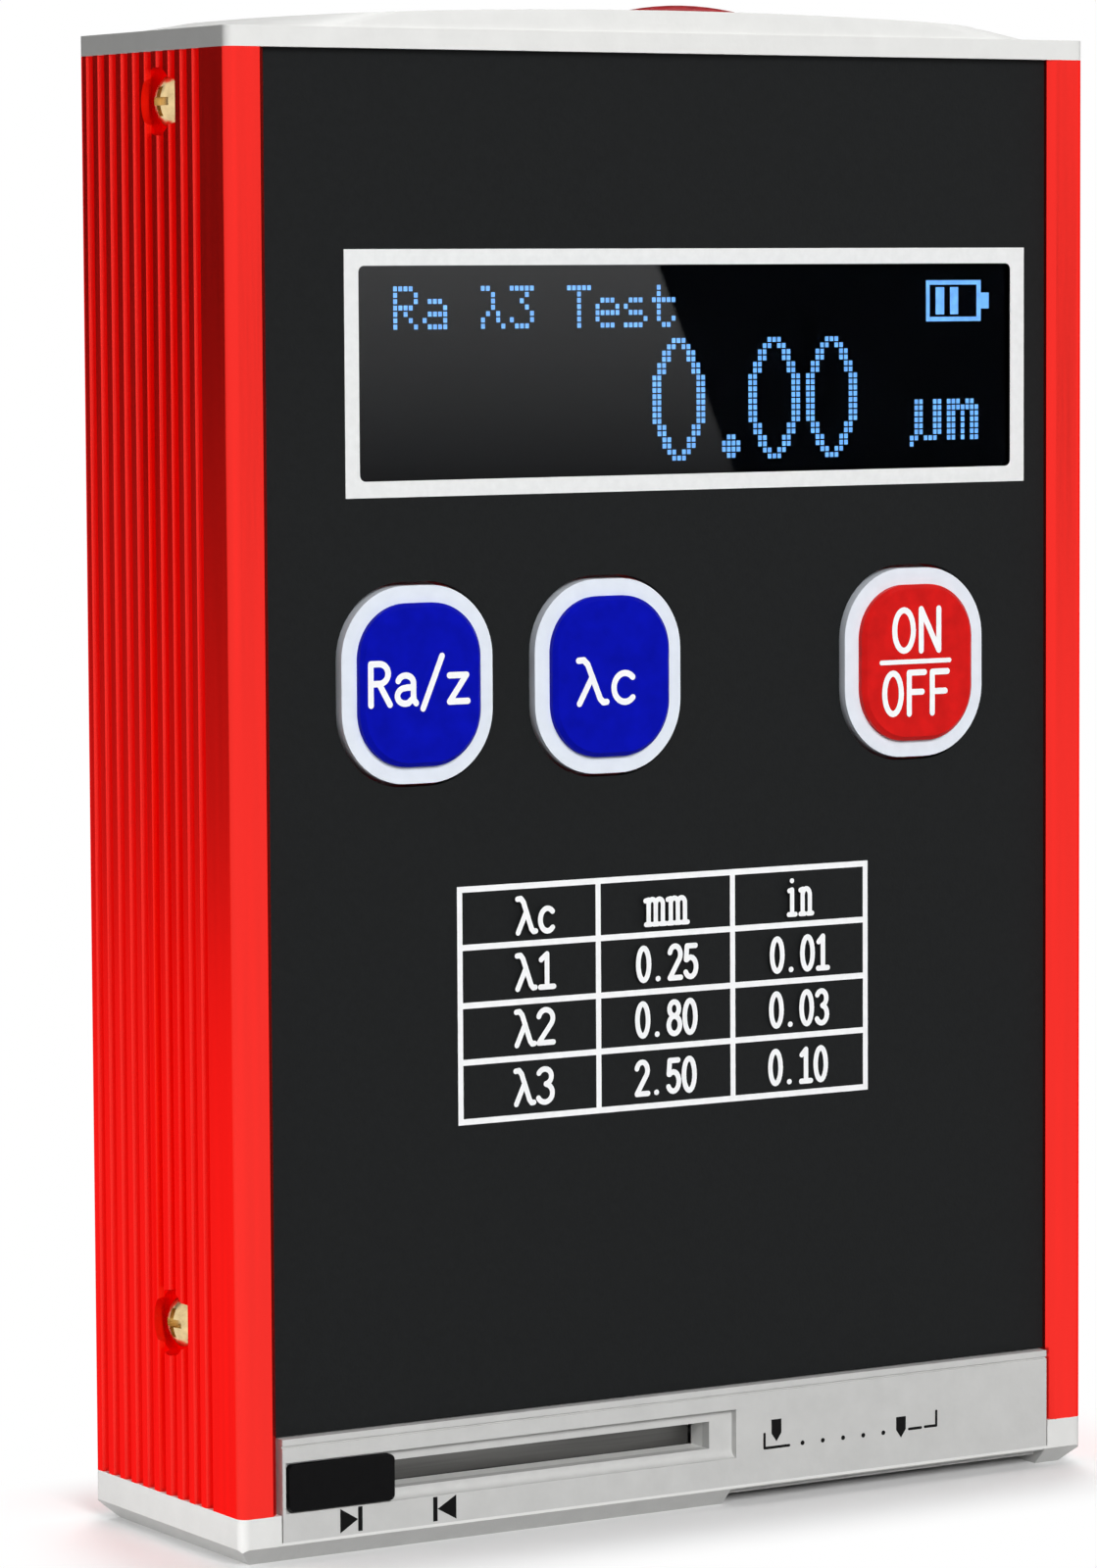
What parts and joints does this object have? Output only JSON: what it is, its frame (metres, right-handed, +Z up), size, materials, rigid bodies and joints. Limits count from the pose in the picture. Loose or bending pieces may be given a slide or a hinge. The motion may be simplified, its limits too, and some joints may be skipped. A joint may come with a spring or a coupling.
{
  "type": "surface roughness tester",
  "caption": "Pocket surface roughness tester: ribbed housing with a display, press keys and a start button, and a shutter over a traversing skidded stylus pickup in its base.",
  "frame": {"origin": "middle of the base plane that the tester stands on, at the housing's mid-width and mid-depth", "axes": "+Z up along the housing, +X to the right seen from the display, +Y to the back; the display faces -Y"},
  "size_m": [0.0704, 0.0222, 0.1066],
  "materials": {
    "red_anodised": "bright red anodised",
    "overlay_black": "matte",
    "clear_lens": "clear",
    "display_black": "gloss",
    "board_green": "satin",
    "moulded_black": "matte",
    "brass": "bright",
    "key_white": "satin",
    "pad_blue": "satin",
    "pad_red": "satin",
    "cap_white": "satin",
    "button_red": "gloss",
    "panel_grey": "satin",
    "knob_black": "satin",
    "steel": "brushed",
    "frame_aluminium": "satin",
    "carriage_grey": "matte",
    "ruby": "polished",
    "diamond": "polished",
    "battery_blue": "satin"
  },
  "bodies": {
    "housing": {"housing_tube": "red_anodised", "front_overlay": "overlay_black", "display_window": "clear_lens", "oled_panel": "display_black", "display_board": "board_green", "display_header": "moulded_black", "main_board": "board_green", "board_standoffs": "brass", "parameter_switch": "moulded_black", "cutoff_switch": "moulded_black", "power_switch": "moulded_black", "top_cap": "cap_white", "start_switch": "moulded_black", "start_board": "board_green", "bottom_cap": "cap_white", "slide_panel": "panel_grey", "drive_frame": "frame_aluminium", "frame_screws": "brass", "gear_motor": "steel", "lead_bearing": "brass", "guide_rod_front": "steel", "guide_rod_rear": "steel", "home_sensor": "moulded_black", "battery": "battery_blue", "buzzer": "moulded_black", "charge_socket": "steel", "case_screws": "brass"},
    "parameter_button": {"parameter_key": "key_white", "parameter_key_pad": "pad_blue"},
    "cutoff_button": {"cutoff_key": "key_white", "cutoff_key_pad": "pad_blue"},
    "power_button": {"power_key": "key_white", "power_key_pad": "pad_red"},
    "start": {"start_button": "button_red"},
    "shutter": {"shutter_knob": "knob_black", "shutter_plate": "steel"},
    "lead_drive": {"motor_shaft": "steel", "shaft_coupling": "frame_aluminium", "lead_screw": "steel"},
    "carriage_unit": {"carriage": "carriage_grey", "lead_nut": "brass", "pickup_pivot_pin": "steel"},
    "pickup": {"pickup_body": "steel", "skid": "ruby", "stylus_pivot_pin": "steel"},
    "stylus": {"stylus_lever": "steel", "stylus_tip": "diamond"}
  },
  "joints": [
    {"name": "parameter_press", "type": "slide", "parent": "housing", "child": "parameter_button", "axis": [0, 1, 0], "range_m": [0, 0.0006], "stiffness_N_per_m": 200},
    {"name": "cutoff_press", "type": "slide", "parent": "housing", "child": "cutoff_button", "axis": [0, 1, 0], "range_m": [0, 0.0006], "stiffness_N_per_m": 200},
    {"name": "power_press", "type": "slide", "parent": "housing", "child": "power_button", "axis": [0, 1, 0], "range_m": [0, 0.0006], "stiffness_N_per_m": 200},
    {"name": "start_press", "type": "slide", "parent": "housing", "child": "start", "axis": [0, 0, -1], "range_m": [0, 0.0005], "stiffness_N_per_m": 200},
    {"name": "shutter_slide", "type": "slide", "parent": "housing", "child": "shutter", "axis": [1, 0, 0], "range_m": [0, 0.028]},
    {"name": "screw_spin", "type": "hinge", "parent": "housing", "child": "lead_drive", "pos_m": [0, -0.0017, 0.019], "axis": [1, 0, 0], "range_deg": [0, 3890]},
    {"name": "carriage_slide", "type": "slide", "parent": "housing", "child": "carriage_unit", "axis": [1, 0, 0], "range_m": [0, 0.0108]},
    {"name": "pickup_lift", "type": "hinge", "parent": "carriage_unit", "child": "pickup", "pos_m": [-0.0188, -0.0017, 0.007], "axis": [0, -1, 0], "range_deg": [0, 11.9]},
    {"name": "stylus_pivot", "type": "hinge", "parent": "pickup", "child": "stylus", "pos_m": [-0.001, -0.0017, 0.005], "axis": [0, -1, 0], "range_deg": [0, 3], "stiffness_Nm_per_rad": 0.0002, "springref_deg": -5.73}
  ],
  "couplings": [
    {"joint": "screw_spin", "follows": "carriage_slide", "rad_per_m": 6283.2},
    {"joint": "pickup_lift", "follows": "shutter_slide", "rad_per_m": 7.36}
  ]
}
